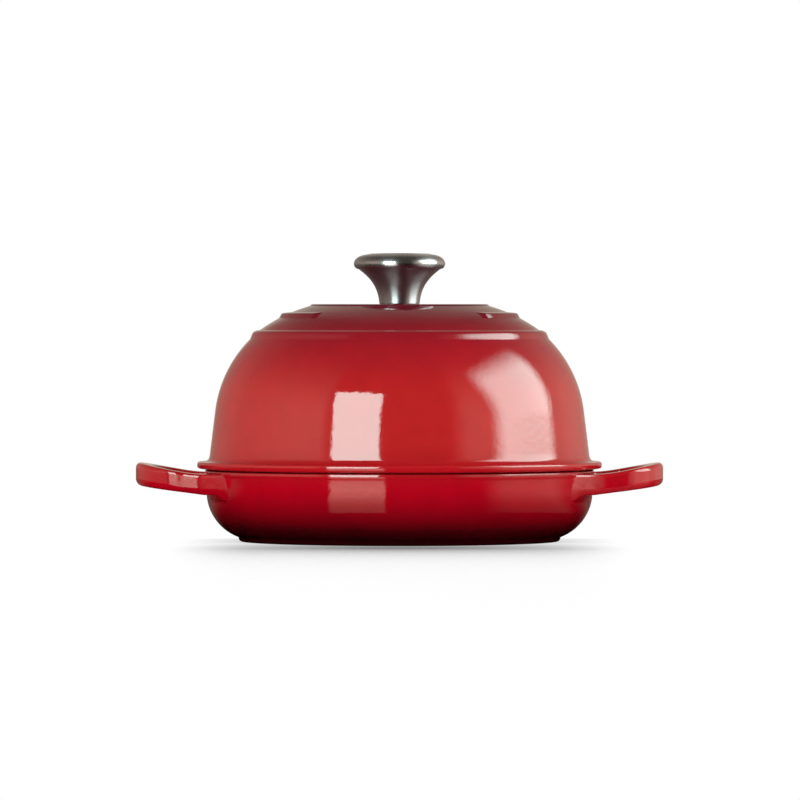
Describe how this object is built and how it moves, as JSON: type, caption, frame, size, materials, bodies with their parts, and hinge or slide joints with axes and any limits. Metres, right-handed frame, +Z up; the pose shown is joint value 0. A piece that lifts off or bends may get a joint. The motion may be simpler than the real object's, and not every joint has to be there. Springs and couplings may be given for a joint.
{
  "type": "cast iron bread pot",
  "caption": "Red enamelled cast-iron bread pot: shallow round base with loop handles, high domed lid with stepped rings that lifts off, and a flared steel knob.",
  "frame": {"origin": "middle of the foot, on the surface that the pot stands on", "axes": "+Z up along the lid's axis, +X towards one handle, and the picture looks along +Y"},
  "size_m": [0.3264, 0.2504, 0.1784],
  "materials": {
    "enamelled_iron": "glossy red glass enamel outside, satin black enamel inside",
    "knob_steel": "polished stem and finely turned satin head",
    "fastener_steel": "plain bright steel"
  },
  "bodies": {
    "base": {"base_pan": "enamelled_iron"},
    "lid": {"dome_lid": "enamelled_iron", "knob": "knob_steel", "knob_screw": "fastener_steel", "flat_washer": "fastener_steel", "lock_washer": "fastener_steel"}
  },
  "joints": [
    {"name": "lid_lift", "type": "slide", "parent": "base", "child": "lid", "axis": [0, 0, 1], "range_m": [0, 0.16]}
  ]
}
